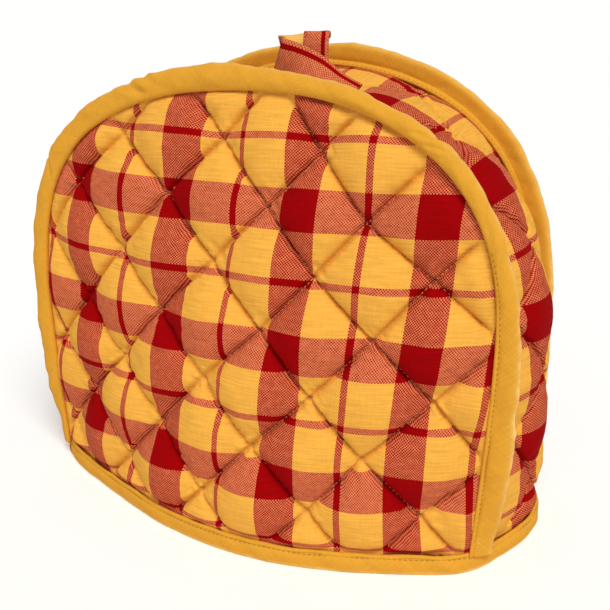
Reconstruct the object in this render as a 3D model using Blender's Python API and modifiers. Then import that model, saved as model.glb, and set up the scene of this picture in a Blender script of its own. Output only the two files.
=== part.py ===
"""A quilted tea cosy: two padded panels joined by a padded gusset over the arch, with a bound
edge along both seams, a bound hem that it stands on, and a folded hanging loop on top.

The padded pieces are made as they are sewn: a flat layer is quilted along diagonal lines,
cut to its outline, and then bent to its place. +Z is up, the front panel faces -Y and +X is
to the right. The origin is on the floor, under the middle of the cosy."""
import math
from collections import namedtuple

import bmesh
import bpy
import numpy as np
from mathutils import Vector

# arch seam, as seen from the front
SEAM_HEIGHT = 0.232
HALF_WIDTH = 0.1356
WIDENING = 0.089
GAP = 0.0003

# hem binding
HEM_HEIGHT = 0.011
HEM_OUT = 0.0018
HEM_IN = 0.0055
HEM_CORNER = 0.0085
HEM_CORNER_REACH = 0.017
HEM_ROUNDING = 2
CLOTH_BASE = HEM_HEIGHT + GAP

# quilting: widths of a diamond across and along the cloth, and a line crossing on the front
DIAMOND_ACROSS = 0.0588
DIAMOND_ALONG = 0.0618
CROSSING_ACROSS = 0.0228
CROSSING_ALONG = 0.1860
CELLS = 4
BACK_CELLS = 3
PUFF_POWER = 0.6

# padding: heights of the outer face from the nominal one, and thicknesses
Padding = namedtuple("Padding", "groove edge puff seam_thick puff_thick plateau fade")
PANEL_PADDING = Padding(-0.0025, -0.0004, 0.0055, 0.0026, 0.0070, 0.0030, 0.012)
GUSSET_PADDING = Padding(-0.0012, -0.0003, 0.0048, 0.0022, 0.0062, 0.0030, 0.012)

# the two sides: seam curve, the depth of the seam at the base and its change upwards, and
# the fullness of the panel
Side = namedtuple("Side", "sign wide tall shift shift_up tilt side_power top_power "
                          "base_y up_y top_y fullness flat lopsided rise")
FRONT = Side(-1, 1.0, 1.0, 0.0, 0.0, 0.0, 2.094, 5.145,
             -0.0440, 0.01025, 0.0062, 0.0382, -0.25, 0.14, 1.76)
BACK = Side(1, 0.9600, 1.018, 0.0095, -0.0110, 0.32, 1.85, 4.97,
            0.0470, 0.0060, -0.0023, 0.0330, -0.25, 0.0, 1.76)

# gusset
GUSSET_INSET = 0.0054
GUSSET_FULL_BASE = 0.0160
GUSSET_FULL_TOP = 0.0045
GUSSET_CROSSING_ACROSS = 0.0
GUSSET_CROSSING_ALONG = 0.0309

# section of a binding: distance from the seam, and outwards from the panel
BINDING_WIDTH = 0.0125
BINDING_SECTION = ((0.0003, 0.0015), (0.0045, 0.0023), (0.0090, 0.0020), (0.0120, 0.0006),
                   (0.0125, -0.0012), (0.0116, -0.0028), (0.0075, -0.0036), (0.0003, -0.0040))
FRONT_LEAN = 0.10
BACK_LEAN = 0.50
BINDING_FOOT = 0.82
BINDING_FOOT_LENGTH = 0.02
BINDING_STATIONS = 57

# hem: distance out from the cloth as a share of its reach, and height
HEM_SECTION = ((-0.0045, 0.0), (0.0012, 0.0), (0.0025, 0.0014), (0.0028, 0.0055),
               (0.0025, 0.0098), (0.0014, 0.0110), (-0.0047, 0.0110), (-0.0055, 0.0098),
               (-0.0055, 0.0012))
HEM_FRONT_CELLS = 20
HEM_SIDE_CELLS = 12

# hanging loop: middle of the strip and the direction across it, from one sewn end to the other
LOOP_WIDTH = 0.013
LOOP_THICK = 0.0016
LoopRow = namedtuple("LoopRow", "x y z across_x across_y across_z")
LOOP_ROWS = (
    LoopRow(0.0560, -0.0158, 0.2311, 0.00, 0.87, 0.49),
    LoopRow(0.0460, -0.0158, 0.2358, 0.05, 0.85, 0.52),
    LoopRow(0.0360, -0.0160, 0.2420, -0.05, 0.50, 0.86),
    LoopRow(0.0250, -0.0158, 0.2466, -0.05, 0.12, 0.98),
    LoopRow(0.0160, -0.0135, 0.2486, 0.25, 0.05, 0.97),
    LoopRow(0.0138, -0.0078, 0.2492, 0.30, 0.32, 0.89),
    LoopRow(0.0190, -0.0036, 0.2500, 0.35, 0.45, 0.82),
    LoopRow(0.0262, -0.0034, 0.2528, 0.80, 0.25, 0.55),
    LoopRow(0.0316, -0.0050, 0.2556, 0.98, 0.00, 0.20),
    LoopRow(0.0330, -0.0080, 0.2564, 1.00, 0.00, 0.00),
    LoopRow(0.0332, -0.0100, 0.2490, 1.00, 0.00, 0.00),
    LoopRow(0.0335, -0.0096, 0.2373, 1.00, 0.05, 0.00),
)
LOOP_STEPS = 4

# colour, roughness
Cloth = namedtuple("Cloth", "colour roughness")
CHECK_CLOTH = Cloth((0.62, 0.24, 0.07), 0.9)
GUSSET_CLOTH = Cloth((0.60, 0.22, 0.07), 0.9)
BINDING_CLOTH = Cloth((0.72, 0.38, 0.06), 0.85)


def plain_arch(turn, side):
    """Points of the arch before its side's own widening and shift, for turn pi to 0."""
    z = SEAM_HEIGHT * np.abs(np.sin(turn)) ** (2 / side.top_power)
    wide = 1 + WIDENING * (z / SEAM_HEIGHT - 0.5)
    x = np.sign(np.cos(turn)) * HALF_WIDTH * np.abs(np.cos(turn)) ** (2 / side.side_power) * wide
    return x, z


def seam_depth(side, height_share):
    """The y of the seam at a share of the seam's height."""
    return side.base_y + side.up_y * height_share + side.top_y * height_share ** 2


class Arch:
    """One side's seam from the left of the hem over the top to the right, read by share."""

    def __init__(self, side, start):
        self.side = side
        x, z = plain_arch(np.linspace(math.pi, 0, 4001), side)
        share = z / SEAM_HEIGHT
        y = seam_depth(side, share)
        x, z = (side.wide * x + side.shift + side.shift_up * share,
                side.tall * z * (1 + side.tilt * x))
        keep = z > start
        first, last = np.argmax(keep), len(keep) - 1 - np.argmax(keep[::-1])
        middle = np.stack([x, y, z], 1)[first:last + 1]
        ends = [self.at_height(x, y, z, first - 1, start), self.at_height(x, y, z, last, start)]
        self.points = np.vstack([ends[0], middle, ends[1]])
        steps = np.hypot(np.diff(self.points[:, 0]), np.diff(self.points[:, 2]))
        run = np.concatenate([[0.0], np.cumsum(steps)])
        self.length = run[-1]
        self.run = run / run[-1]

    @staticmethod
    def at_height(x, y, z, i, start):
        share = (start - z[i]) / (z[i + 1] - z[i])
        return np.array([x[i] + share * (x[i + 1] - x[i]), y[i] + share * (y[i + 1] - y[i]), start])

    def at(self, share):
        """Points on the seam at these shares of its length."""
        return np.stack([np.interp(share, self.run, self.points[:, k]) for k in range(3)], -1)

    def outward(self, share):
        """Directions square to the seam, away from the cosy, and level at the hem."""
        a = self.at(np.clip(share - 0.004, 0, 1))
        b = self.at(np.clip(share + 0.004, 0, 1))
        along = b - a
        level = np.clip((self.at(share)[..., 2] - CLOTH_BASE) / 0.03, 0, 1)
        out = np.stack([-along[..., 2], 0 * along[..., 0], along[..., 0] * level], -1)
        return out / np.linalg.norm(out, axis=-1, keepdims=True)


def face_y(side, x, z):
    """The nominal outer face of a panel."""
    plain_x = (x - side.shift) / side.wide
    plain_z = z / (side.tall * (1 + side.tilt * plain_x))
    share = np.clip(plain_z / SEAM_HEIGHT, 0, 1)
    plain_x = (x - side.shift - side.shift_up * share) / side.wide
    half = HALF_WIDTH * (1 - np.minimum(share, 0.9995) ** side.top_power) ** (1 / side.side_power)
    half = half * (1 + WIDENING * (share - 0.5))
    across = np.clip(plain_x / half, -1, 1)
    fall = (1 - across ** 2) * (1 + side.flat * across ** 2) * (1 + side.lopsided * across)
    full = side.fullness * fall * (1 - share ** side.rise)
    return seam_depth(side, share) + side.sign * full


def run_over(side, x, z, axis, steps=28):
    """Length of cloth from the middle line (axis 0) or the floor (axis 1) to a point."""
    share = np.linspace(0, 1, steps)[:, None]
    xs = x * share if axis == 0 else np.broadcast_to(x, (steps, len(x)))
    zs = z * share if axis == 1 else np.broadcast_to(z, (steps, len(z)))
    y = face_y(side, xs, zs)
    moved = (x if axis == 0 else z) / (steps - 1)
    return np.sign(moved) * np.hypot(np.diff(y, axis=0), moved).sum(axis=0)


def lay_panel(side, across, along):
    """Find x and z of points given by their place on the flat cloth."""
    x, z = across * 0.95, along * 0.95
    for _ in range(14):
        run = run_over(side, x, z, 0)
        x = np.where(np.abs(run) > 1e-6, x * across / np.where(run == 0, 1, run), x)
        run = run_over(side, x, z, 1)
        z = np.where(np.abs(run) > 1e-6, z * along / np.where(run == 0, 1, run), z)
    return x, z


def distance_to(outline, across, along):
    """Distance from each flat point to a closed outline."""
    a = outline
    b = np.roll(outline, -1, axis=0)
    edge = b - a
    best = np.full(len(across), 1.0)
    for start, way in zip(a, edge):
        size = max(float(way @ way), 1e-12)
        t = np.clip(((across - start[0]) * way[0] + (along - start[1]) * way[1]) / size, 0, 1)
        gap = np.hypot(across - start[0] - t * way[0], along - start[1] - t * way[1])
        best = np.minimum(best, gap)
    return best


def apply_modifiers(obj):
    """Replace an object's mesh with its evaluated one."""
    bpy.context.view_layer.update()
    graph = bpy.context.evaluated_depsgraph_get()
    mesh = bpy.data.meshes.new_from_object(obj.evaluated_get(graph))
    obj.modifiers.clear()
    old = obj.data
    obj.data = mesh
    bpy.data.meshes.remove(old)
    mesh.name = obj.name


def link(name, mesh, collection, cloth=None):
    """Make an object from a mesh, with its own material."""
    obj = bpy.data.objects.new(name, mesh)
    collection.objects.link(obj)
    if cloth is not None:
        material = bpy.data.materials.new(name)
        material.use_nodes = True
        shader = material.node_tree.nodes["Principled BSDF"]
        shader.inputs["Base Color"].default_value = (*cloth.colour, 1)
        shader.inputs["Roughness"].default_value = cloth.roughness
        shader.inputs["Metallic"].default_value = 0.0
        mesh.materials.append(material)
    return obj


def outline_prism(name, outline, collection):
    """A thick flat block of the outline, which cuts the quilted layer to its shape."""
    mesh = bpy.data.meshes.new(name)
    form = bmesh.new()
    ring = [form.verts.new((p[0], p[1], -0.03)) for p in outline]
    face = form.faces.new(ring)
    raised = bmesh.ops.extrude_face_region(form, geom=[face])["geom"]
    tops = [v for v in raised if isinstance(v, bmesh.types.BMVert)]
    bmesh.ops.translate(form, verts=tops, vec=(0, 0, 0.06))
    bmesh.ops.recalc_face_normals(form, faces=form.faces)
    form.to_mesh(mesh)
    form.free()
    obj = link(name, mesh, collection)
    obj.hide_render = True
    obj.display_type = "WIRE"
    return obj


def quilted_layer(name, outline, crossing, cells, padding, cloth, parts, cutters):
    """A flat padded layer with diagonal quilting lines, cut to an outline.

    The mesh edges run along the quilting lines, with this many cells to a diamond's side."""
    low = outline.min(axis=0) - DIAMOND_ACROSS / 2
    high = outline.max(axis=0) + DIAMOND_ACROSS / 2
    corners = np.array([(a, b) for a in (low[0], high[0]) for b in (low[1], high[1])])
    right = (corners[:, 0] - crossing[0]) / DIAMOND_ACROSS
    up = (corners[:, 1] - crossing[1]) / DIAMOND_ALONG
    first = math.floor(min((right + up).min(), (right - up).min())) - 1
    last = math.ceil(max((right + up).max(), (right - up).max())) + 1
    count = last - first
    form = bmesh.new()
    bmesh.ops.create_grid(form, x_segments=count * cells, y_segments=count * cells, size=0.5)
    for v in form.verts:
        u = first + (v.co.x + 0.5) * count
        w = first + (v.co.y + 0.5) * count
        v.co = Vector((crossing[0] + 0.5 * (u + w) * DIAMOND_ACROSS,
                       crossing[1] + 0.5 * (u - w) * DIAMOND_ALONG, 0))
    apart = [v for v in form.verts if not (low[0] < v.co.x < high[0] and low[1] < v.co.y < high[1])]
    bmesh.ops.delete(form, geom=apart, context="VERTS")
    bmesh.ops.reverse_faces(form, faces=form.faces)
    mesh = bpy.data.meshes.new(name)
    form.to_mesh(mesh)
    form.free()
    obj = link(name, mesh, parts, cloth)
    flat = np.array([v.co[:2] for v in mesh.vertices])
    right = (flat[:, 0] - crossing[0]) / DIAMOND_ACROSS
    up = (flat[:, 1] - crossing[1]) / DIAMOND_ALONG
    u, w = (right + up) % 1, (right - up) % 1
    inside = (distance_to(outline, flat[:, 0], flat[:, 1]) - padding.plateau) / padding.fade
    inside = np.clip(inside, 0, 1)
    inside = 1 - (1 - inside) ** 2
    puff = inside * (16 * u * (1 - u) * w * (1 - w)).clip(0, 1) ** PUFF_POWER
    outer = padding.groove * inside + padding.edge * (1 - inside) + padding.puff * puff
    group = obj.vertex_groups.new(name="puff")
    for v, height, share in zip(mesh.vertices, outer, puff):
        v.co.z = height
        group.add([v.index], float(share), "REPLACE")
    solid = obj.modifiers.new("padding", "SOLIDIFY")
    solid.thickness = padding.seam_thick + padding.puff_thick
    solid.offset = -1
    solid.vertex_group = "puff"
    solid.thickness_vertex_group = padding.seam_thick / (padding.seam_thick + padding.puff_thick)
    apply_modifiers(obj)
    cut = obj.modifiers.new("outline", "BOOLEAN")
    cut.operation = "INTERSECT"
    cut.solver = "EXACT"
    cut.object = outline_prism(name + "_outline", outline, cutters)
    apply_modifiers(obj)
    form = bmesh.new()
    form.from_mesh(obj.data)
    bmesh.ops.remove_doubles(form, verts=form.verts, dist=0.00005)
    bmesh.ops.triangulate(form, faces=form.faces)
    form.to_mesh(obj.data)
    form.free()
    return obj


def bend(obj, place):
    """Move each point of a flat layer to its place on the cosy."""
    mesh = obj.data
    flat = np.zeros(len(mesh.vertices) * 3)
    mesh.vertices.foreach_get("co", flat)
    mesh.vertices.foreach_set("co", place(flat.reshape(-1, 3)).ravel())
    mesh.update()


def finish(obj, angle=math.radians(40)):
    """Shade a soft piece smooth, with its cut edges sharp."""
    obj.data.shade_smooth()
    obj.data.set_sharp_from_angle(angle=angle)


def make_panel(name, side, arch, parts, cutters):
    """One quilted panel inside its arch."""
    stations = np.linspace(0, 1, 72)
    edge = arch.at(stations) - GAP * arch.outward(stations)
    x, z = edge[:, 0], np.maximum(edge[:, 2], CLOTH_BASE)
    foot = np.linspace(x[-1], x[0], 18)[1:-1]
    x = np.concatenate([x, foot])
    z = np.concatenate([z, np.full(len(foot), CLOTH_BASE)])
    outline = np.stack([run_over(side, x, z, 0), run_over(side, x, z, 1)], 1)[::-1]
    crossing = (CROSSING_ACROSS * -side.sign, CROSSING_ALONG)
    cells = CELLS if side.sign < 0 else BACK_CELLS
    obj = quilted_layer(name, outline, crossing, cells, PANEL_PADDING, CHECK_CLOTH, parts, cutters)

    def place(flat):
        px, pz = lay_panel(side, flat[:, 0], flat[:, 1])
        return np.stack([px, face_y(side, px, pz) + side.sign * flat[:, 2], pz], 1)

    bend(obj, place)
    if side.sign > 0:
        obj.data.flip_normals()
    finish(obj)
    return obj


class Gusset:
    """The strip between the two arches: its edges, its fullness and its flat width."""

    def __init__(self, front, back):
        self.front = front
        self.back = back
        self.length = 0.5 * (front.length + back.length)

    def edges(self, share):
        """The strip's front and back edge points."""
        inset = np.array([0, GUSSET_INSET, 0])
        return self.front.at(share) + inset, self.back.at(share) - inset

    def fullness(self, share):
        """How far the middle of the strip stands out."""
        top = np.sin(math.pi * np.clip(share, 0, 1)) ** 0.8
        return GUSSET_FULL_BASE + (GUSSET_FULL_TOP - GUSSET_FULL_BASE) * top

    def flat_width(self, share):
        """Width of the strip before it is bent."""
        a, b = self.edges(share)
        chord = np.linalg.norm(b - a, axis=-1)
        return chord * (1 + 8 / 3 * (self.fullness(share) / chord) ** 2)

    def place(self, flat):
        """Points on the cosy from points of the flat strip: across, along and out."""
        share = flat[:, 1] / self.length
        a, b = self.edges(share)
        across = flat[:, 0] / self.flat_width(share) + 0.5
        out = self.front.outward(share) + self.back.outward(share)
        out /= np.linalg.norm(out, axis=1, keepdims=True)
        rise = self.fullness(share) * (1 - (2 * across - 1) ** 2) + flat[:, 2]
        return a + (b - a) * across[:, None] + out * rise[:, None]


def make_gusset(gusset, parts, cutters):
    """The quilted strip over the arch."""
    share = np.linspace(0, 1, 49)
    half = gusset.flat_width(share) / 2
    along = share * gusset.length
    outline = np.vstack([np.stack([half, along], 1), np.stack([-half, along], 1)[::-1]])
    crossing = (GUSSET_CROSSING_ACROSS, GUSSET_CROSSING_ALONG)
    obj = quilted_layer("gusset", outline, crossing, CELLS, GUSSET_PADDING, GUSSET_CLOTH,
                        parts, cutters)
    bend(obj, gusset.place)
    obj.data.flip_normals()
    finish(obj)
    return obj


def loft(name, sections, closed, cloth, parts):
    """Join sections of equal counts into one closed solid, as a ring or with two end faces."""
    form = bmesh.new()
    rings = [[form.verts.new(p) for p in section] for section in sections]
    size = len(rings[0])
    pairs = list(zip(rings, rings[1:] + rings[:1])) if closed else list(zip(rings, rings[1:]))
    for a, b in pairs:
        for i in range(size):
            j = (i + 1) % size
            form.faces.new((a[i], a[j], b[j], b[i]))
    if not closed:
        form.faces.new(rings[0])
        form.faces.new(rings[-1][::-1])
    bmesh.ops.recalc_face_normals(form, faces=form.faces)
    mesh = bpy.data.meshes.new(name)
    form.to_mesh(mesh)
    form.free()
    obj = link(name, mesh, parts, cloth)
    finish(obj)
    return obj


def make_binding(name, arch, lean, parts):
    """The folded strip that stands out from one arch seam."""
    share = np.linspace(0, 1, BINDING_STATIONS)
    seam = arch.at(share)
    out = arch.outward(share)
    panel_out = np.array([0, arch.side.sign, 0])
    foot = np.clip(np.minimum(share, 1 - share) * arch.length / BINDING_FOOT_LENGTH, 0, 1)
    widths = BINDING_FOOT + (1 - BINDING_FOOT) * foot * (2 - foot)
    sections = []
    for point, way, wide in zip(seam, out, widths):
        section = []
        for full_reach, off in BINDING_SECTION:
            reach = full_reach * wide
            n = reach * math.cos(lean) + off * math.sin(lean) * reach / BINDING_WIDTH
            y = off - reach * math.sin(lean)
            section.append(Vector(point + way * n + panel_out * y))
        sections.append(section)
    return loft(name, sections, False, BINDING_CLOTH, parts)


def hem_path(front, back, gusset):
    """Plan of the cloth's outer face at the hem: points, and nearness to a seam corner."""
    rows = []
    corners = []
    for arch, gusset_share, turn in ((front, 1.0, 1), (back, 0.0, -1)):
        ends = arch.at(np.array([0.0, 1.0]))[::turn]
        xs = np.linspace(ends[0][0], ends[1][0], HEM_FRONT_CELLS + 1)
        ys = face_y(arch.side, xs, np.full(len(xs), CLOTH_BASE))
        rows += list(zip(xs, ys))
        a, b = (e[0] for e in gusset.edges(np.array([gusset_share])))
        width = gusset.flat_width(np.array([gusset_share]))[0]
        across = np.linspace(0, 1, HEM_SIDE_CELLS + 1)[1:-1]
        flat = np.stack([(across - 0.5) * width, np.full(len(across), gusset_share * gusset.length),
                         0 * across], 1)
        side_points = gusset.place(flat)[:, :2]
        rows += [tuple(p) for p in (side_points if turn > 0 else side_points[::-1])]
        corners += [ends[0][:2], ends[1][:2]]
    path = np.array(rows)
    near = np.array([min(np.linalg.norm(p - c) for c in corners) for p in path])
    return path, np.exp(-(near / HEM_CORNER_REACH) ** 2)


def make_hem(front, back, gusset, parts):
    """The bound hem, a ring that stands flat on the floor."""
    path, corner = hem_path(front, back, gusset)
    along = np.roll(path, -1, axis=0) - np.roll(path, 1, axis=0)
    out = np.stack([along[:, 1], -along[:, 0]], 1)
    out /= np.linalg.norm(out, axis=1, keepdims=True)
    for _ in range(2):
        out = out + 0.5 * (np.roll(out, -1, axis=0) + np.roll(out, 1, axis=0))
        out /= np.linalg.norm(out, axis=1, keepdims=True)
    outer = path + out * (HEM_CORNER * corner)[:, None]
    for _ in range(HEM_ROUNDING):
        outer = 0.5 * outer + 0.25 * (np.roll(outer, -1, axis=0) + np.roll(outer, 1, axis=0))
    sections = []
    for inner_point, outer_point, way in zip(path, outer, out):
        section = []
        for reach, height in HEM_SECTION:
            spot = (outer_point if reach > 0 else inner_point) + way * reach
            section.append(Vector((spot[0], spot[1], height)))
        sections.append(section)
    return loft("hem_binding", sections, True, BINDING_CLOTH, parts)


def smooth_rows(rows, steps):
    """Read more rows from a smooth curve through the given ones."""
    table = np.array(rows)
    padded = np.vstack([2 * table[0] - table[1], table, 2 * table[-1] - table[-2]])
    out = []
    for a, b, c, d in zip(padded, padded[1:], padded[2:], padded[3:]):
        for t in np.arange(steps) / steps:
            out.append(0.5 * (2 * b + (c - a) * t + (2 * a - 5 * b + 4 * c - d) * t ** 2
                              + (3 * b - a - 3 * c + d) * t ** 3))
    out.append(table[-1])
    return np.array(out)


def make_loop(parts):
    """The hanging loop: a folded strip, slumped to one side."""
    rows = smooth_rows(LOOP_ROWS, LOOP_STEPS)
    middle = rows[:, :3]
    along = np.gradient(middle, axis=0)
    along /= np.linalg.norm(along, axis=1, keepdims=True)
    across = rows[:, 3:] - (rows[:, 3:] * along).sum(axis=1, keepdims=True) * along
    across /= np.linalg.norm(across, axis=1, keepdims=True)
    out = np.cross(along, across)
    half = LOOP_WIDTH / 2
    thick = LOOP_THICK / 2
    sections = []
    for m, a, n in zip(middle, across, out):
        sections.append([Vector(m + a * half * i + n * thick * j)
                         for i, j in ((-1, -1), (1, -1), (1, 1), (-1, 1))])
    return loft("hanging_loop", sections, False, GUSSET_CLOTH, parts)


def settle(objects):
    """Put the origin on the floor under the middle of the whole cosy."""
    low = np.full(3, 1e9)
    high = np.full(3, -1e9)
    for obj in objects:
        for v in obj.data.vertices:
            low = np.minimum(low, v.co)
            high = np.maximum(high, v.co)
    shift = Vector((-(low[0] + high[0]) / 2, -(low[1] + high[1]) / 2, -low[2]))
    for obj in objects:
        for v in obj.data.vertices:
            v.co += shift


def main():
    for obj in list(bpy.data.objects):
        bpy.data.objects.remove(obj, do_unlink=True)
    parts = bpy.data.collections.new("tea_cosy")
    cutters = bpy.data.collections.new("cutters")
    bpy.context.scene.collection.children.link(parts)
    bpy.context.scene.collection.children.link(cutters)
    front = Arch(FRONT, CLOTH_BASE)
    back = Arch(BACK, CLOTH_BASE)
    gusset = Gusset(front, back)
    pieces = [
        make_panel("front_panel", FRONT, front, parts, cutters),
        make_panel("back_panel", BACK, back, parts, cutters),
        make_gusset(gusset, parts, cutters),
        make_binding("front_binding", front, FRONT_LEAN, parts),
        make_binding("back_binding", back, BACK_LEAN, parts),
        make_hem(front, back, gusset, parts),
        make_loop(parts),
    ]
    settle(pieces)


main()
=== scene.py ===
"""A quilted tea cosy in check cotton, dressed as the real one looks.

Each quilted piece is made as it is sewn: a flat layer of cloth over wadding is stitched through
along diagonal lines, cut, and then bent to its place. The seams and the hem are bound with
strips cut on the bias. Lengths are in metres, +Z is up, and the front panel faces -Y."""
import logging
import math
from dataclasses import dataclass
from enum import Enum

import bpy
import numpy as np
from mathutils import Matrix, Vector


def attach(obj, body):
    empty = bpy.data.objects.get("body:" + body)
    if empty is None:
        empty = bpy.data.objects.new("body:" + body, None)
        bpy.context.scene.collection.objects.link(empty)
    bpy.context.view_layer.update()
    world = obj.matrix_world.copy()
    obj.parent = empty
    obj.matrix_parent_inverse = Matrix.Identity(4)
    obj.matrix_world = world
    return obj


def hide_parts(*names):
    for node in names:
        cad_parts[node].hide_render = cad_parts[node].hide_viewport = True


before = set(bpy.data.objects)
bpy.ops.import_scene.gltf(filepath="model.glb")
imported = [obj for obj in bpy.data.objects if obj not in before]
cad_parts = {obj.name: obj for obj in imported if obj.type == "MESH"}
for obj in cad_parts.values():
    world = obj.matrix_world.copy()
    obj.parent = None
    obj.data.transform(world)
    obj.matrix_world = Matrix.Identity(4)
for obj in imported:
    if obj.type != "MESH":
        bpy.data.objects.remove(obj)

log = logging.getLogger("tea_cosy")
logging.basicConfig(level=logging.INFO, format="%(message)s")

Array = np.ndarray

# from the middle of the seams' own drawing to the middle of the cosy's box
SETTLE = np.array([-0.00209195, 0.00067262, 0.0])

# how high the threads of a weave stand
THREAD_HEIGHT = 0.0005


class Facing(Enum):
    """The way a side of the cosy faces along Y."""

    FRONT = -1
    BACK = 1


class Foot(Enum):
    """An end of the arch at the hem, by its share of the seam."""

    LEFT = 0.0
    RIGHT = 1.0


def linear(code: str) -> tuple[float, float, float, float]:
    """Turn an sRGB hex colour to linear.

    Args:
        code: six hex digits.

    Returns:
        Red, green, blue and a full alpha.
    """
    parts = [int(code[i:i + 2], 16) / 255 for i in (0, 2, 4)]
    return (*[c / 12.92 if c <= 0.04045 else ((c + 0.055) / 1.055) ** 2.4 for c in parts], 1.0)


def uneven(a: Array, b: Array, size: float, seed: int) -> Array:
    """Smooth heights without a pattern, one hump or hollow to each size.

    Args:
        a: first flat coordinate of the points.
        b: second flat coordinate of the points.
        size: distance from one hump to the next hollow.
        seed: which of the fields of humps is read.

    Returns:
        A height from -1 to 1 for each point.
    """
    knots = np.random.default_rng(seed).uniform(-1, 1, (64, 64))
    x, y = np.asarray(a) / size + 500.5, np.asarray(b) / size + 500.5
    i, j = np.floor(x).astype(int), np.floor(y).astype(int)
    fx, fy = x - i, y - j
    fx, fy = fx * fx * (3 - 2 * fx), fy * fy * (3 - 2 * fy)
    low = knots[i % 64, j % 64] * (1 - fx) + knots[(i + 1) % 64, j % 64] * fx
    high = knots[i % 64, (j + 1) % 64] * (1 - fx) + knots[(i + 1) % 64, (j + 1) % 64] * fx
    return low * (1 - fy) + high * fy


def read_between(table: Array, place: Array) -> Array:
    """Read a table of places between its entries.

    Args:
        table: places by column and row.
        place: how far through the columns and the rows each reading lies.

    Returns:
        The places read.
    """
    cell = np.floor(place).astype(int)
    part = place - cell
    i, j, a, b = cell[..., 0], cell[..., 1], part[..., :1], part[..., 1:]
    return ((table[i, j] * (1 - a) + table[i + 1, j] * a) * (1 - b)
            + (table[i, j + 1] * (1 - a) + table[i + 1, j + 1] * a) * b)


def run_along(points: Array, closed: bool = False) -> Array:
    """Distance run along a line of points, and back to the first one if it is closed."""
    line = np.vstack([points, points[:1]]) if closed else points
    return np.concatenate([[0.0], np.cumsum(np.linalg.norm(np.diff(line, axis=0), axis=1))])


def step(value: Array, start: float, end: float) -> Array:
    """Rise smoothly from 0 at start to 1 at end."""
    share = np.clip((value - start) / (end - start), 0, 1)
    return share * share * (3 - 2 * share)


def unit(ways: Array) -> Array:
    """Give directions a length of one."""
    return ways / np.maximum(np.linalg.norm(ways, axis=-1, keepdims=True), 1e-12)


# Making and finishing meshes


def add_grid(name: str, columns: int, rows: int) -> tuple[bpy.types.Object, Array, Array]:
    """Add a flat square grid of cloth, to be cut and laid.

    Args:
        name: name of the piece.
        columns: cells along the first side.
        rows: cells along the second side.

    Returns:
        The piece, and for each point its shares of the first and second side.
    """
    bpy.ops.object.select_all(action="DESELECT")
    bpy.ops.mesh.primitive_grid_add(x_subdivisions=columns, y_subdivisions=rows, size=1,
                                    calc_uvs=False)
    piece = bpy.context.object
    piece.name = piece.data.name = name
    spots = read_points(piece)
    return piece, spots[:, 0] + 0.5, spots[:, 1] + 0.5


def add_counted_grid(name: str, columns: int,
                     rows: int) -> tuple[bpy.types.Object, Array, Array]:
    """Add a flat grid, and return it with the column and the row of each point."""
    piece, a, b = add_grid(name, columns, rows)
    return piece, np.round(a * columns).astype(int), np.round(b * rows).astype(int)


def read_points(piece: bpy.types.Object) -> Array:
    """Read the places of a piece's points."""
    spots = np.zeros(len(piece.data.vertices) * 3)
    piece.data.vertices.foreach_get("co", spots)
    return spots.reshape(-1, 3)


def read_corners(piece: bpy.types.Object) -> Array:
    """Read which point each corner of the faces stands on."""
    corners = np.zeros(len(piece.data.loops), dtype=np.int32)
    piece.data.loops.foreach_get("vertex_index", corners)
    return corners


def place_points(piece: bpy.types.Object, spots: Array) -> None:
    """Put a piece's points in their places."""
    piece.data.vertices.foreach_set("co", np.ascontiguousarray(spots, dtype=float).ravel())
    piece.data.update()


def lay_cloth_map(piece: bpy.types.Object, flat: Array) -> None:
    """Keep each point's place on the flat cloth, in metres, as the piece's UV map.

    Args:
        piece: the piece.
        flat: a place on the cloth for each point.
    """
    layer = piece.data.uv_layers.new(name="cloth")
    spots = flat[read_corners(piece)]
    layer.data.foreach_set("uv", np.ascontiguousarray(spots, dtype=float).ravel())


def keep_share(piece: bpy.types.Object, name: str, share: Array) -> None:
    """Keep a number for each point, which a finish reads."""
    layer = piece.data.attributes.new(name, "FLOAT", "POINT")
    layer.data.foreach_set("value", np.ascontiguousarray(share, dtype=float))


def delete_points(piece: bpy.types.Object, away: Array) -> None:
    """Delete chosen points of a piece and what hangs on them.

    Args:
        piece: the piece.
        away: true for each point to delete.
    """
    piece.data.polygons.foreach_set("select", np.zeros(len(piece.data.polygons), dtype=bool))
    piece.data.edges.foreach_set("select", np.zeros(len(piece.data.edges), dtype=bool))
    piece.data.vertices.foreach_set("select", away)
    edit(piece)
    bpy.ops.mesh.select_mode(type="VERT")
    bpy.ops.mesh.delete(type="VERT")
    bpy.ops.object.mode_set(mode="OBJECT")


def pick(piece: bpy.types.Object) -> None:
    """Select a piece alone and make it the active one."""
    bpy.ops.object.select_all(action="DESELECT")
    piece.select_set(True)
    bpy.context.view_layer.objects.active = piece


def edit(piece: bpy.types.Object) -> None:
    """Open a piece alone in edit mode."""
    pick(piece)
    bpy.ops.object.mode_set(mode="EDIT")


def face_outward(piece: bpy.types.Object) -> None:
    """Turn all faces of a piece outward."""
    edit(piece)
    bpy.ops.mesh.select_all(action="SELECT")
    bpy.ops.mesh.normals_make_consistent(inside=False)
    bpy.ops.object.mode_set(mode="OBJECT")


def close_tube(piece: bpy.types.Object, ends: bool) -> None:
    """Merge the long edges of a rolled grid, and close its ends if it has any.

    Args:
        piece: the rolled grid.
        ends: true where the two ends are open and need a face.
    """
    edit(piece)
    bpy.ops.mesh.select_all(action="SELECT")
    bpy.ops.mesh.remove_doubles(threshold=1e-6)
    if ends:
        bpy.ops.mesh.select_all(action="DESELECT")
        bpy.ops.mesh.select_mode(type="EDGE")
        bpy.ops.mesh.select_non_manifold()
        bpy.ops.mesh.fill()
    bpy.ops.object.mode_set(mode="OBJECT")
    face_outward(piece)


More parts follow.
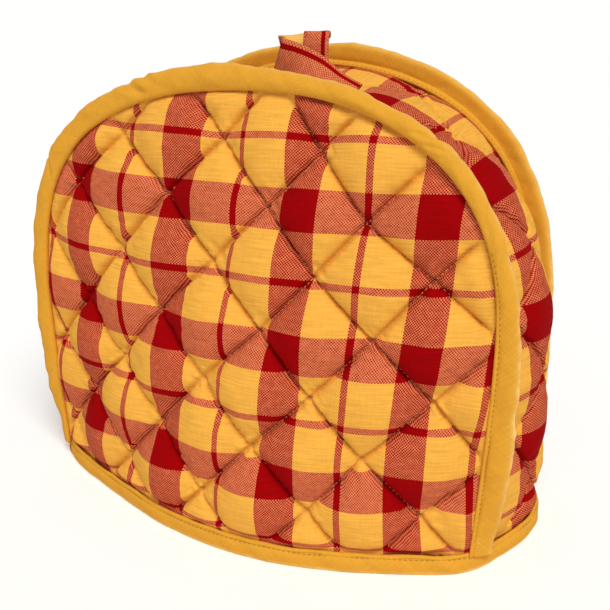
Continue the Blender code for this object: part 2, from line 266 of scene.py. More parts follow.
def finish_piece(piece: bpy.types.Object, *materials: bpy.types.Material) -> None:
    """Move a piece to the cosy's frame, shade it soft and dress it.

    Args:
        piece: the piece, in the frame of the seams' drawing.
        materials: its materials in order.
    """
    place_points(piece, read_points(piece) + SETTLE)
    pick(piece)
    bpy.ops.object.shade_smooth()
    for material in materials:
        piece.data.materials.append(material)
    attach(piece, "root")
    log.info("%s: %d faces", piece.name, len(piece.data.polygons))


# Finishes


def add_node(tree: bpy.types.NodeTree, kind: str, settings: dict | None = None,
             links: dict | None = None) -> bpy.types.Node:
    """Add a shader node.

    Args:
        tree: the material's nodes.
        kind: the node's type.
        settings: values of its properties, by name, and of its inputs, by number or name.
        links: sockets that feed its inputs, by number or name.

    Returns:
        The new node.
    """
    node = tree.nodes.new(kind)
    for key, value in (settings or {}).items():
        if isinstance(key, str) and key in node.bl_rna.properties:
            setattr(node, key, value)
        else:
            node.inputs[key].default_value = value
    for key, socket in (links or {}).items():
        tree.links.new(socket, node.inputs[key])
    return node


def new_material(name: str) -> tuple[bpy.types.Material, bpy.types.NodeTree, bpy.types.Node]:
    """Start a material, and return it with its nodes and its shader."""
    material = bpy.data.materials.new(name)
    material.use_nodes = True
    tree = material.node_tree
    return material, tree, tree.nodes["Principled BSDF"]


def reckon(tree: bpy.types.NodeTree, operation: str, settings: dict | None = None,
           links: dict | None = None, kind: str = "ShaderNodeMath") -> bpy.types.NodeSocket:
    """Add a node that reckons with numbers or, by its kind, with places.

    Args:
        tree: the material's nodes.
        operation: what it does.
        settings: values of its properties and inputs, as for add_node.
        links: sockets that feed its inputs.
        kind: the node's type.

    Returns:
        The result.
    """
    return add_node(tree, kind, {"operation": operation, **(settings or {})}, links).outputs[0]


def blend(tree: bpy.types.NodeTree, settings: dict, links: dict) -> bpy.types.NodeSocket:
    """Mix two colours, which are inputs 6 and 7, by input 0."""
    return add_node(tree, "ShaderNodeMix", {"data_type": "RGBA", **settings}, links).outputs[2]


def noise(tree: bpy.types.NodeTree, place: bpy.types.NodeSocket, scale: float,
          detail: float = 1.0) -> bpy.types.Node:
    """Add a cloudy pattern, read at a place."""
    return add_node(tree, "ShaderNodeTexNoise", {"Scale": scale, "Detail": detail}, {0: place})


def cloth_map(tree: bpy.types.NodeTree) -> bpy.types.NodeSocket:
    """Read the place on the flat cloth."""
    return add_node(tree, "ShaderNodeUVMap", {"uv_map": "cloth"}).outputs[0]


def shifted(tree: bpy.types.NodeTree, cloth: bpy.types.NodeSocket, place: bpy.types.NodeSocket,
            scale: float, detail: float, reach: float) -> bpy.types.NodeSocket:
    """Shift a place on the cloth a little, as loose threads lie.

    Args:
        tree: the material's nodes.
        cloth: where the shift is read.
        place: the place to shift.
        scale: how often the shift changes in a metre.
        detail: how rough the shift is.
        reach: distance between the furthest shifts each way.

    Returns:
        The shifted place.
    """
    kind = "ShaderNodeVectorMath"
    cloud = noise(tree, cloth, scale, detail)
    shift = reckon(tree, "MULTIPLY_ADD", {1: (reach, reach, 0.0), 2: (-reach / 2, -reach / 2, 0.0)},
                   {0: cloud.outputs["Color"]}, kind)
    return reckon(tree, "ADD", links={0: place, 1: shift}, kind=kind)


def over_under(tree: bpy.types.NodeTree, place: bpy.types.NodeSocket,
               thread: float) -> bpy.types.NodeSocket:
    """A plain weave: 1 where the warp lies over the weft, and 0 where it lies under."""
    return add_node(tree, "ShaderNodeTexChecker", {"Scale": 1 / thread, "Color1": (1, 1, 1, 1),
                    "Color2": (0, 0, 0, 1)}, {0: place}).outputs["Fac"]


def slubs(tree: bpy.types.NodeTree, place: bpy.types.NodeSocket, start: float,
          layers: tuple[tuple[float, float, float], ...]) -> bpy.types.NodeSocket:
    """Uneven spun threads along the ways of a weave.

    Args:
        tree: the material's nodes.
        place: place on the cloth.
        start: the brightness that the layers are added to.
        layers: how often each layer changes in a metre along both ways, and its amount.

    Returns:
        A brightness about one.
    """
    total = None
    for first, second, amount in layers:
        long = reckon(tree, "MULTIPLY", {1: (first, second, 1.0)}, {0: place},
                      "ShaderNodeVectorMath")
        settings, links = {1: amount}, {0: noise(tree, long, 1.0).outputs[0]}
        if total is None:
            settings[2] = start
        else:
            links[2] = total
        total = reckon(tree, "MULTIPLY_ADD", settings, links)
    return total


def dress_cloth(tree: bpy.types.NodeTree, shader: bpy.types.Node, colour: bpy.types.NodeSocket,
                shade: bpy.types.NodeSocket, relief: float, roughness: float,
                shine: float) -> None:
    """Give a shader its toned colour, the relief of its threads and its gloss.

    Args:
        tree: the material's nodes.
        shader: the shader.
        colour: the cloth's colour.
        shade: a brightness about one, which is also the height of the threads.
        relief: how strongly the threads stand out.
        roughness: how dull the cloth is.
        shine: how strongly it mirrors light.
    """
    toned = reckon(tree, "SCALE", links={0: colour, "Scale": shade}, kind="ShaderNodeVectorMath")
    tree.links.new(toned, shader.inputs["Base Color"])
    bump = add_node(tree, "ShaderNodeBump", {"Strength": relief, "Distance": THREAD_HEIGHT},
                    {"Height": shade})
    tree.links.new(bump.outputs[0], shader.inputs["Normal"])
    shader.inputs["Roughness"].default_value = roughness
    shader.inputs["Specular IOR Level"].default_value = shine


@dataclass(frozen=True)
class CheckCotton:
    """Yarn-dyed cotton, plain woven: two yellows and a red cross as warp and weft.

    Where red crosses yellow, single threads of both show, and the eye sees terracotta; where
    red crosses red it is deep and even. The warp lies closer, so it shows more than the weft."""

    name: str
    yellow: str = "E4A542"
    pale: str = "DA7D52"
    red: str = "900003"
    warp_repeat: float = 0.0671
    weft_repeat: float = 0.0671
    wide_share: float = 0.147
    thin_share: float = 0.0253
    warp_start: float = 0.0383
    weft_start: float = 0.0481
    thread: float = 0.00070
    warp_cover: float = 0.65
    contrast: float = 0.95
    uneven_dye: float = 0.8
    dye_scale: float = 330.0
    wander: float = 0.0022
    wander_scale: float = 26.0
    shake: float = 0.0006
    shake_scale: float = 260.0
    slub: float = 0.30
    relief: float = 0.55
    roughness: float = 0.9
    shine: float = 0.05

    def material(self) -> bpy.types.Material:
        """Build the cloth's material.

        Returns:
            The material, which reads the piece's cloth map.
        """
        material, tree, shader = new_material(self.name)
        cloth = cloth_map(tree)
        moved = shifted(tree, cloth, cloth, self.wander_scale, 1.0, self.wander)
        parts = add_node(tree, "ShaderNodeSeparateXYZ", links={0: moved})
        warp = self.bands(tree, parts.outputs[0], self.warp_start, self.warp_repeat)
        weft = self.bands(tree, parts.outputs[1], self.weft_start, self.weft_repeat)
        yarn = shifted(tree, cloth, moved, self.shake_scale, 0.0, self.shake)
        over = over_under(tree, yarn, self.thread)
        dye = noise(tree, moved, self.dye_scale)
        even = reckon(tree, "MULTIPLY_ADD", {1: self.uneven_dye,
                      2: self.warp_cover - self.contrast / 2 - self.uneven_dye / 2},
                      {0: dye.outputs[0]})
        show = reckon(tree, "MULTIPLY_ADD", {1: self.contrast, "use_clamp": True},
                      {0: over, 2: even})
        red = add_node(tree, "ShaderNodeMix", {"data_type": "FLOAT"}, {0: show, 2: weft, 3: warp})
        apart = reckon(tree, "SUBTRACT", links={0: warp, 1: weft})
        mixed = reckon(tree, "ABSOLUTE", links={0: apart})
        light = blend(tree, {6: linear(self.yellow), 7: linear(self.pale)}, {0: mixed})
        colour = blend(tree, {7: linear(self.red)}, {0: red.outputs[0], 6: light})
        shade = slubs(tree, moved, 1 - self.slub,
                      ((70.0, 1100.0, self.slub * 1.5), (900.0, 110.0, self.slub * 0.5)))
        dress_cloth(tree, shader, colour, shade, self.relief, self.roughness, self.shine)
        return material

    def bands(self, tree: bpy.types.NodeTree, way: bpy.types.NodeSocket, start: float,
              repeat: float) -> bpy.types.NodeSocket:
        """The red bands of one set of threads.

        Args:
            tree: the material's nodes.
            way: distance across the threads.
            start: middle of a wide band.
            repeat: distance from one wide band to the next.

        Returns:
            1 on a red thread and 0 on a yellow one.
        """
        thread = reckon(tree, "SNAP", {1: self.thread}, {0: way})
        turn = reckon(tree, "MULTIPLY_ADD", {1: 1 / repeat,
                      2: 40 + (self.thread / 2 - start) / repeat}, {0: thread})
        share = reckon(tree, "FRACT", links={0: turn})
        band = add_node(tree, "ShaderNodeValToRGB", links={0: share})
        self.set_bands(band.color_ramp)
        return band.outputs[0]

    def set_bands(self, ramp: bpy.types.ColorRamp) -> None:
        """Lay a wide band at the ends of the repeat and a thin line in its middle."""
        ramp.interpolation = "CONSTANT"
        stops = ((0.0, 1), (self.wide_share, 0), (0.5 - self.thin_share, 1),
                 (0.5 + self.thin_share, 0), (1 - self.wide_share, 1))
        while len(ramp.elements) < len(stops):
            ramp.elements.new(0.5)
        for element, (spot, _) in zip(ramp.elements, stops):
            element.position = spot
        for element, (_, value) in zip(ramp.elements, stops):
            element.color = (value, value, value, 1)


@dataclass(frozen=True)
class BiasCotton:
    """Plain-dyed cotton cut on the bias: even mustard, matt, with a fine slanting weave.

    It is drawn paler along its outer fold: partly rubbed where the cosy is handled, and partly a
    painted highlight where the fold catches the light."""

    name: str
    colour: str = "D6982F"
    # colour of the paler fold: worn cloth together with a painted highlight
    paler_edge_colour: str = "F4CC82"
    slub: float = 0.20
    thread: float = 0.0006
    turn: float = math.radians(45)
    threads_show: float = 0.05
    paler_edge_amount: float = 1.7
    paler_edge_scale: float = 160.0
    relief: float = 0.5
    roughness: float = 0.84
    shine: float = 0.08

    def material(self) -> bpy.types.Material:
        """Build the strip's material.

        Returns:
            The material, which reads the piece's cloth map and its paler edge, which is wear and
            painted highlight.
        """
        material, tree, shader = new_material(self.name)
        cloth = cloth_map(tree)
        bias = add_node(tree, "ShaderNodeMapping", {"Rotation": (0, 0, self.turn)},
                        {0: cloth}).outputs[0]
        shade = slubs(tree, bias, 0.98 - self.slub,
                      ((90.0, 1300.0, self.slub), (1300.0, 90.0, self.slub)))
        weave = reckon(tree, "MULTIPLY_ADD", {1: self.threads_show},
                       {0: over_under(tree, bias, self.thread), 2: shade})
        # paler along the outer fold: partly wear, partly a painted highlight where the fold catches
        # the light
        paler_edge = add_node(tree, "ShaderNodeAttribute", {"attribute_name": "paler_edge"})
        patch = noise(tree, cloth, self.paler_edge_scale, 2.0)
        blotch = reckon(tree, "MULTIPLY", {1: self.paler_edge_amount}, {0: patch.outputs[0]})
        amount = reckon(tree, "MULTIPLY", {"use_clamp": True},
                        {0: paler_edge.outputs["Fac"], 1: blotch})
        colour = blend(tree, {6: linear(self.colour), 7: linear(self.paler_edge_colour)}, {0: amount})
        dress_cloth(tree, shader, colour, weave, self.relief, self.roughness, self.shine)
        return material


@dataclass(frozen=True)
class SewingCotton:
    """Twisted sewing cotton, matt, pale where it lies on red cloth."""

    name: str
    colour: str
    roughness: float = 0.7

    def material(self) -> bpy.types.Material:
        """Build the thread's material.

        Returns:
            The material.
        """
        material, tree, shader = new_material(self.name)
        spot = add_node(tree, "ShaderNodeTexCoord").outputs["Object"]
        twist = add_node(tree, "ShaderNodeTexNoise", {"Scale": 900.0, "Detail": 1.0}, {0: spot})
        shade = add_node(tree, "ShaderNodeMath", {"operation": "MULTIPLY_ADD", 1: 0.4, 2: 0.8},
                         {0: twist.outputs[0]})
        toned = add_node(tree, "ShaderNodeVectorMath", {"operation": "SCALE",
                         0: linear(self.colour)[:3]}, {"Scale": shade.outputs[0]})
        tree.links.new(toned.outputs[0], shader.inputs["Base Color"])
        shader.inputs["Roughness"].default_value = self.roughness
        shader.inputs["Specular IOR Level"].default_value = 0.3
        return material


# The cosy's form: seams, panels and gusset


@dataclass(frozen=True)
class Side:
    """The cut of one side: its arch, the depth of its seam, and how its panel bulges."""

    facing: Facing
    wide: float
    tall: float
    shift: float
    shift_up: float
    tilt: float
    side_power: float
    top_power: float
    base_y: float
    up_y: float
    top_y: float
    fullness: float
    flat: float
    lopsided: float
    rise: float
    seam_height: float = 0.232
    half_width: float = 0.1356
    widening: float = 0.089
    foot: float = 0.0113

    def seam_depth(self, height: Array) -> Array:
        """The seam's y at a share of its height."""
        return self.base_y + self.up_y * height + self.top_y * height ** 2

    def seam(self, count: int = 4001) -> Array:
        """Points of the whole arch, from the left of the floor to the right."""
        turn = np.linspace(math.pi, 0, count)
        z = self.seam_height * np.abs(np.sin(turn)) ** (2 / self.top_power)
        share = z / self.seam_height
        x = np.sign(np.cos(turn)) * self.half_width * np.abs(np.cos(turn)) ** (2 / self.side_power)
        x = x * (1 + self.widening * (share - 0.5))
        return np.stack([self.wide * x + self.shift + self.shift_up * share,
                         self.seam_depth(share), self.tall * z * (1 + self.tilt * x)], 1)

    def face_y(self, x: Array, z: Array) -> Array:
        """The panel's outer face before it is quilted.

        Args:
            x: distance to the right.
            z: height.

        Returns:
            The y of each point.
        """
        plain_x = (x - self.shift) / self.wide
        plain_z = z / (self.tall * (1 + self.tilt * plain_x))
        share = np.clip(plain_z / self.seam_height, 0, 1)
        plain_x = (x - self.shift - self.shift_up * share) / self.wide
        half = self.half_width * (1 - np.minimum(share, 0.9995) ** self.top_power) ** (
            1 / self.side_power) * (1 + self.widening * (share - 0.5))
        across = np.clip(plain_x / half, -1, 1)
        fall = (1 - across ** 2) * (1 + self.flat * across ** 2) * (1 + self.lopsided * across)
        bulge = self.fullness * fall * (1 - share ** self.rise)
        return self.seam_depth(share) + self.facing.value * bulge


FRONT_SIDE = Side(Facing.FRONT, 1.0, 1.0, 0.0, 0.0, 0.0, 2.094, 5.145,
                  -0.0440, 0.01025, 0.0062, 0.0382, -0.25, 0.14, 1.76)
BACK_SIDE = Side(Facing.BACK, 0.9600, 1.018, 0.0095, -0.0110, 0.32, 1.85, 4.97,
                 0.0470, 0.0060, -0.0023, 0.0330, -0.25, 0.0, 1.76)


class Arch:
    """One side's seam over the arch, read by share of its length from the left foot."""

    def __init__(self, side: Side) -> None:
        """Draw the seam down to the top of the hem."""
        self.side = side
        seam = side.seam()
        above = np.where(seam[:, 2] > side.foot)[0]
        first, last = above[0], above[-1]
        ends = []
        for i in (first - 1, last):
            share = (side.foot - seam[i, 2]) / (seam[i + 1, 2] - seam[i, 2])
            ends.append(seam[i] + share * (seam[i + 1] - seam[i]))
        self.points = np.vstack([ends[0], seam[first:last + 1], ends[1]])
        steps = np.hypot(np.diff(self.points[:, 0]), np.diff(self.points[:, 2]))
        run = np.concatenate([[0.0], np.cumsum(steps)])
        self.length = float(run[-1])
        self.run = run / run[-1]

    def at(self, share: Array) -> Array:
        """Points on the seam at shares of its length."""
        return np.stack([np.interp(share, self.run, self.points[:, k]) for k in range(3)], -1)

    def outward(self, share: Array) -> Array:
        """Directions square to the seam, away from the cosy, and level at the hem."""
        along = self.at(np.clip(share + 0.004, 0, 1)) - self.at(np.clip(share - 0.004, 0, 1))
        level = np.clip((self.at(share)[..., 2] - self.side.foot) / 0.03, 0, 1)
        return unit(np.stack([-along[..., 2], 0 * along[..., 0], along[..., 0] * level], -1))


class Surface:
    """A face of the cosy, which flat cloth is bent to."""

    # 1 where the flat cloth's right side faces out, and -1 where it faces in
    turn: float = 1.0

    def base(self, flat: Array) -> Array:
        """Points on the face from points on the flat cloth."""
        raise NotImplementedError

    def normal(self, flat: Array) -> Array:
        """Directions out of the face at points on the flat cloth."""
        ahead = 0.0015
        a = self.base(flat + [ahead, 0]) - self.base(flat - [ahead, 0])
        b = self.base(flat + [0, ahead]) - self.base(flat - [0, ahead])
        return unit(np.cross(a, b)) * self.turn

    def place(self, flat: Array, height: Array) -> Array:
        """Points at a height over the face.

        Args:
            flat: places on the flat cloth.
            height: distance out of the face.

        Returns:
            The points on the cosy.
        """
        return self.base(flat) + self.normal(flat) * np.asarray(height)[:, None]


class PanelSurface(Surface):
    """The bulging face that a panel's flat cloth is bent to."""

    def __init__(self, arch: Arch, spacing: float = 0.004) -> None:
        """Lay a coarse table from the flat cloth to the face.

        Args:
            arch: the panel's seam.
            spacing: distance between the table's points.
        """
        self.arch = arch
        self.side = arch.side
        self.turn = -arch.side.facing.value
        self.spacing = spacing
        self.corner = np.array([-0.164, 0.002])
        self.size = (83, 65)
        s = self.corner[0] + spacing * np.arange(self.size[0])
        t = self.corner[1] + spacing * np.arange(self.size[1])
        grid = np.meshgrid(s, t, indexing="ij")
        across, along = grid[0].ravel(), grid[1].ravel()
        x, z = across * 0.95, along * 0.95
        for _ in range(14):
            run = self.run_over(x, z, 0)
            x = np.where(np.abs(run) > 1e-6, x * across / np.where(run == 0, 1, run), x)
            run = self.run_over(x, z, 1)
            z = np.where(np.abs(run) > 1e-6, z * along / np.where(run == 0, 1, run), z)
        self.table = np.stack([x, z], 1).reshape(*self.size, 2)

    def run_over(self, x: Array, z: Array, axis: int, steps: int = 28) -> Array:
        """Length of cloth from the middle line (axis 0) or the floor (axis 1) to a point."""
        share = np.linspace(0, 1, steps)[:, None]
        xs = x * share if axis == 0 else np.broadcast_to(x, (steps, len(x)))
        zs = z * share if axis == 1 else np.broadcast_to(z, (steps, len(z)))
        moved = (x if axis == 0 else z) / (steps - 1)
        return np.sign(moved) * np.hypot(np.diff(self.side.face_y(xs, zs), axis=0),
                                         moved).sum(axis=0)

    def base(self, flat: Array) -> Array:
        """Points on the face from points on the flat cloth."""
        limit = np.array(self.size) - 1.001
        place = np.clip((flat - self.corner) / self.spacing, 0, limit)
        xz = read_between(self.table, place)
        return np.stack([xz[:, 0], self.side.face_y(xz[:, 0], xz[:, 1]), xz[:, 1]], 1)

    def outline(self) -> Array:
        """The cut edge of the flat cloth, at the seam and at the hem."""
        share = np.linspace(0, 1, 120)
        edge = self.arch.at(share) - 0.0003 * self.arch.outward(share)
        x, z = edge[:, 0], np.maximum(edge[:, 2], self.side.foot)
        low = np.linspace(x[-1], x[0], 40)[1:-1]
        x, z = np.concatenate([x, low]), np.concatenate([z, np.full(len(low), self.side.foot)])
        return np.stack([self.run_over(x, z, 0), self.run_over(x, z, 1)], 1)


@dataclass
class GussetSurface(Surface):
    """The full strip between the two seams, which the gusset's flat cloth is bent to."""

    front: Arch
    back: Arch
    inset: float = 0.0054
    full_base: float = 0.0185
    full_top: float = -0.0010
    full_side: float = 0.0035
    top_power: float = 2.2
    back_droop: float = 0.4
    foot_cut: float = 0.50
    turn: float = -1.0

    @property
    def length(self) -> float:
        """Length of the strip over the arch."""
        return 0.5 * (self.front.length + self.back.length)

    def edges(self, share: Array) -> tuple[Array, Array]:
        """The strip's front and back edge points."""
        inset = np.array([0, self.inset, 0])
        return self.front.at(share) + inset, self.back.at(share) - inset

    def fullness(self, share: Array) -> Array:
        """How far the middle of the strip stands out: most low on both sides."""
        side = np.exp(-((np.abs(share - 0.5) - 0.29) / 0.10) ** 2)
        top = self.near_top(share)
        return self.full_base + (self.full_top - self.full_base) * top + self.full_side * side

    def near_top(self, share: Array) -> Array:
        """How near a place is to the top of the arch, from 0 at the hem to 1."""
        return np.sin(math.pi * np.clip(share, 0, 1)) ** self.top_power

    def width(self, share: Array) -> Array:
        """Width of the flat strip."""
        a, b = self.edges(share)
        chord = np.linalg.norm(b - a, axis=-1)
        return chord * (1 + 8 / 3 * (self.fullness(share) / chord) ** 2)

    def base(self, flat: Array) -> Array:
        """Points on the strip's face from points on the flat cloth."""
        share = flat[:, 1] / self.length
        held = np.clip(share, 0, 1)
        a, b = self.edges(held)
        across = flat[:, 0] / self.width(held) + 0.5
        out = unit(self.front.outward(held) + self.back.outward(held))
        inside = np.clip(across, 0, 1)
        top = self.near_top(held)
        droop = 1 - self.back_droop * top * step(across, 0.25, 1.0)
        straight = 1 - self.foot_cut * (1 - top) * (1 - inside) ** 3
        rise = self.fullness(held) * (1 - (2 * inside - 1) ** 2) * droop * straight
        spots = a + (b - a) * inside[:, None] + out * rise[:, None]
        spots += (b - a) * (across - inside)[:, None] * 0.5
        spots[:, 2] += (share - held) * self.length * np.where(share > 0.5, -1.0, 1.0)
        return spots

    def outline(self) -> Array:
        """The cut edge of the flat strip."""
        share = np.linspace(0, 1, 81)
        half, along = self.width(share) / 2, share * self.length
        return np.vstack([np.stack([half, along], 1), np.stack([-half, along], 1)[::-1]])


# Quilted pieces


@dataclass(frozen=True)
class Tug:
    """A place where making draws the cloth aside: where, how far about, and how much, in mm."""

    at_right: float
    at_up: float
    reach: float
    right: float
    up: float


def drawn(flat: Array, tugs: tuple[Tug, ...]) -> Array:
    """How far a few tugs draw the cloth aside.

    Args:
        flat: places on the flat cloth.
        tugs: the tugs.

    Returns:
        The way that each place is drawn.
    """
    total = np.zeros_like(flat)
    for tug in tugs:
        off = (flat * 1000 - (tug.at_right, tug.at_up)) / tug.reach
        near = np.exp(-0.5 * (off ** 2).sum(axis=-1, keepdims=True))
        total += near * np.array([tug.right, tug.up]) / 1000
    return total


# the front's sewing is drawn in at both shoulders and down along the left side
FRONT_SEWING = (Tug(-100, 205, 40, -12, -6), Tug(100, 215, 40, -12, -10),
                Tug(-105, 120, 35, -2, -8))
# its check slips where the wadding fills it, and most at the lower right
FRONT_SLIPS = (Tug(125, 60, 45, -6, -2), Tug(-95, 85, 35, 4, -1), Tug(-80, 165, 35, -4, -2),
               Tug(20, 205, 45, 2, 2))


@dataclass(frozen=True)
class Quilting:
    """Diagonal stitching lines over the cloth: the size of a diamond and where two cross.

    The lines are guided by hand, so that each crossing is pulled a little off its place."""

    across: float = 0.0588
    along: float = 0.0618
    crossing: tuple[float, float] = (0.0228, 0.1860)
    tugs: tuple[Tug, ...] = ()
    loose: float = 0.0
    seed: int = 1
    reach: int = 24

    def table(self) -> Array:
        """How far each crossing is pulled, right and up, over a square of crossings."""
        count = 2 * self.reach + 1
        own = np.random.default_rng(self.seed).uniform(-1, 1, (count, count, 2)) * self.loose
        lines = np.arange(count) - self.reach
        u, w = np.meshgrid(lines, lines, indexing="ij")
        return own + drawn(self.even(u, w), self.tugs)

    def even(self, u: Array, w: Array) -> Array:
        """Flat points before the sewing is pulled off its place."""
        return np.stack([self.crossing[0] + 0.5 * (u + w) * self.across,
                         self.crossing[1] + 0.5 * (u - w) * self.along], -1)

    def flat(self, u: Array, w: Array) -> Array:
        """Flat points from how far they are through the two sets of lines."""
        pulled = read_between(self.table(), np.stack([u, w], -1) + self.reach)
        return self.even(u, w) + pulled

    def span(self, low: Array, high: Array) -> tuple[int, int]:
        """The first and last line that meet a rectangle of cloth."""
        corners = np.array([(a, b) for a in (low[0], high[0]) for b in (low[1], high[1])])
        right = (corners[:, 0] - self.crossing[0]) / self.across
        up = (corners[:, 1] - self.crossing[1]) / self.along
        lines = np.concatenate([right + up, right - up])
        return math.floor(lines.min()) - 1, math.ceil(lines.max()) + 1

    @property
    def side(self) -> float:
        """Length of a diamond's side."""
        return 0.5 * math.hypot(self.across, self.along)


@dataclass(frozen=True)
class Padding:
    """Heights of the outer face, thicknesses, and the flat margin at the cut edge."""

    groove: float
    edge: float
    puff: float
    seam_thick: float
    puff_thick: float
    plateau: float
    fade: float
    power: float = 0.66
    crease: float = 0.0021
    crease_width: float = 0.0012


@dataclass
class QuiltedPiece:
    """A padded layer of check cotton, stitched through along its quilting lines."""

    name: str
    surface: Surface
    quilting: Quilting
    padding: Padding
    cloth: bpy.types.Material
    lining: bpy.types.Material
    thread: bpy.types.Material
    cells: int = 32
    seed: int = 1
    tuck: float = 0.0036
    crowding: float = 0.55
    pucker: float = 0.00120
    cloth_from: str = "flat"
    cloth_stretch: float = 0.75
    slips: tuple[Tug, ...] = ()
    flat_top: float = 0.0
    flat_length: float = 0.611
    slot: str = "quilted_check"

    def build(self) -> list[bpy.types.Object]:
        """Make the padded cloth and its quilting stitches.

        Returns:
            The two pieces.
        """
        piece = self.make_cloth()
        stitches = self.make_stitches()
        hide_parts(self.name)
        return [piece, stitches]

    def edge_distance(self, flat: Array) -> Array:
        """Distance from each flat point to the cut edge, less than zero outside it."""
        outline = self.surface.outline()
        best = np.full(len(flat), 1.0)
        inside = np.zeros(len(flat), dtype=bool)
        for start, end in zip(outline, np.roll(outline, -1, axis=0)):
            way = end - start
            size = max(float(way @ way), 1e-12)
            share = np.clip(((flat - start) @ way) / size, 0, 1)
            best = np.minimum(best, np.hypot(*(flat - start - share[:, None] * way).T))
            spans = (start[1] > flat[:, 1]) != (end[1] > flat[:, 1])
            rise = way[1] if way[1] else 1e-12
            inside ^= spans & (flat[:, 0] < start[0] + (flat[:, 1] - start[1]) * way[0] / rise)
        return np.where(inside, best, -best)

    def heights(self, u: Array, w: Array, flat: Array, gap: Array) -> tuple[Array, Array]:
        """The padded form over the flat cloth.

        Args:
            u: how far the points are through the first set of lines.
            w: how far they are through the second.
            flat: their places on the flat cloth.
            gap: their distance to the cut edge.

        Returns:
            The height of the outer face and the thickness below it.
        """
        pad, side = self.padding, self.quilting.side
        fu, fw = u % 1, w % 1
        inside = 1 - (1 - np.clip((gap - pad.plateau) / pad.fade, 0, 1)) ** 2
        dome = (16 * fu * (1 - fu) * fw * (1 - fw)).clip(0, 1) ** pad.power
        own = uneven(np.floor(u) * 7.31, np.floor(w) * 5.17, 1.0, self.seed)
        puff = inside * dome * (1 - self.flat_top * self.near_top(flat))
        height = pad.groove * inside + pad.edge * (1 - inside) + pad.puff * puff * (1 + 0.12 * own)
        for near, along, line in ((fu, w, u), (fw, u, w)):
            off = np.minimum(near, 1 - near) * side
            row = np.round(line)
            height -= pad.crease * np.exp(-(off / pad.crease_width) ** 2) * inside
            fold = uneven(along * side + 0.37 * row, off * 0.35 + row * 0.11, 0.0034,
                          self.seed + 11)
            reach = step(off, 0.0, 0.0016) * np.exp(-off / 0.0055)
            height -= self.pucker * (np.abs(fold) - 0.4) * reach * inside * 2.2
        height += 0.00040 * uneven(flat[:, 0], flat[:, 1], 0.0060, self.seed + 3) * dome
        height += 0.00070 * uneven(flat[:, 0], flat[:, 1], 0.0140, self.seed + 4) * puff
        return height, pad.seam_thick + pad.puff_thick * puff

    def near_top(self, flat: Array) -> Array:
        """How near a place on the gusset is to the top of the cosy."""
        share = np.clip(flat[:, 1] / self.flat_length, 0, 1)
        return np.sin(math.pi * share) ** 0.8

    def cloth_place(self, flat: Array) -> Array:
        """Where the woven pattern is read for each flat point."""
        if self.cloth_from == "back_edge":
            share = np.clip(flat[:, 1] / self.surface.length, 0, 1)
            inward = flat[:, 0] - self.surface.width(share) / 2
            return np.stack([inward * self.cloth_stretch, flat[:, 1]], 1)
        return flat - drawn(flat, self.slips)

    def make_cloth(self) -> bpy.types.Object:
        """Cut, pad and bend the layer.

        Returns:
            The piece.
        """
        outline = self.surface.outline()
        low, high = outline.min(axis=0) - 0.006, outline.max(axis=0) + 0.006
        first, last = self.quilting.span(low, high)
        count = last - first
        piece, a, b = add_grid(self.name + "_cloth", count * self.cells, count * self.cells)
        lines = np.stack([a, b], 1) * count
        lines = first + lines - self.crowding / (2 * math.pi) * np.sin(2 * math.pi * lines)
        place_points(piece, np.column_stack([lines, np.zeros(len(lines))]))
        flat = self.quilting.flat(lines[:, 0], lines[:, 1])
        delete_points(piece, ((flat < low) | (flat > high)).any(axis=1))
        lines = read_points(piece)[:, :2]
        flat = self.quilting.flat(lines[:, 0], lines[:, 1])
        delete_points(piece, self.edge_distance(flat) < -self.tuck)
        edit(piece)
        bpy.ops.mesh.select_all(action="SELECT")
        bpy.ops.mesh.extrude_region_move(TRANSFORM_OT_translate={"value": (0, 0, -1)})
        bpy.ops.object.mode_set(mode="OBJECT")
        spots = read_points(piece)
        u, w, under = spots[:, 0], spots[:, 1], spots[:, 2] < -0.5
        flat = self.quilting.flat(u, w)
        lay_cloth_map(piece, self.cloth_place(flat))
        height, thick = self.heights(u, w, flat, self.edge_distance(flat))
        place_points(piece, self.surface.place(flat, height - thick * under))
        face_outward(piece)
        faces = under[read_corners(piece)].reshape(-1, 4).any(axis=1).astype(np.int32)
        finish_piece(piece, self.cloth, self.lining)
        piece.data.polygons.foreach_set("material_index", faces)
        return piece

    def make_stitches(self, pitch: float = 0.0026, length: float = 0.0019) -> bpy.types.Object:
        """Lay a row of stitches in each quilting groove.

        Args:
            pitch: distance from one stitch to the next.
            length: length of a stitch.

        Returns:
            The stitches as one piece.
        """
        outline = self.surface.outline()
        low, high = self.quilting.span(outline.min(axis=0), outline.max(axis=0))
        share = np.arange(low, high, pitch / self.quilting.side)
        reach = 0.5 * length / self.quilting.side
        rows = []
        for line in range(low, high + 1):
            held, turned = np.full(len(share), float(line)), np.full(len(share), reach)
            rows.append(np.stack([held, share, 0 * held, turned], 1))
            rows.append(np.stack([share, held, turned, 0 * held], 1))
        rows = np.vstack(rows)
        middle = self.quilting.flat(rows[:, 0], rows[:, 1])
        gap = self.edge_distance(middle)
        keep = gap > 0.0028
        rows, middle, gap = rows[keep], middle[keep], gap[keep]
        starts = self.quilting.flat(rows[:, 0] - rows[:, 2], rows[:, 1] - rows[:, 3])
        ends = self.quilting.flat(rows[:, 0] + rows[:, 2], rows[:, 1] + rows[:, 3])
        height = self.heights(rows[:, 0], rows[:, 1], middle, gap)[0] + 0.00025
        piece = sew(self.name + "_stitches", self.surface.place(starts, height),
                    self.surface.place(ends, height), self.surface.normal(middle), 0.00021)
        finish_piece(piece, self.thread)
        return piece


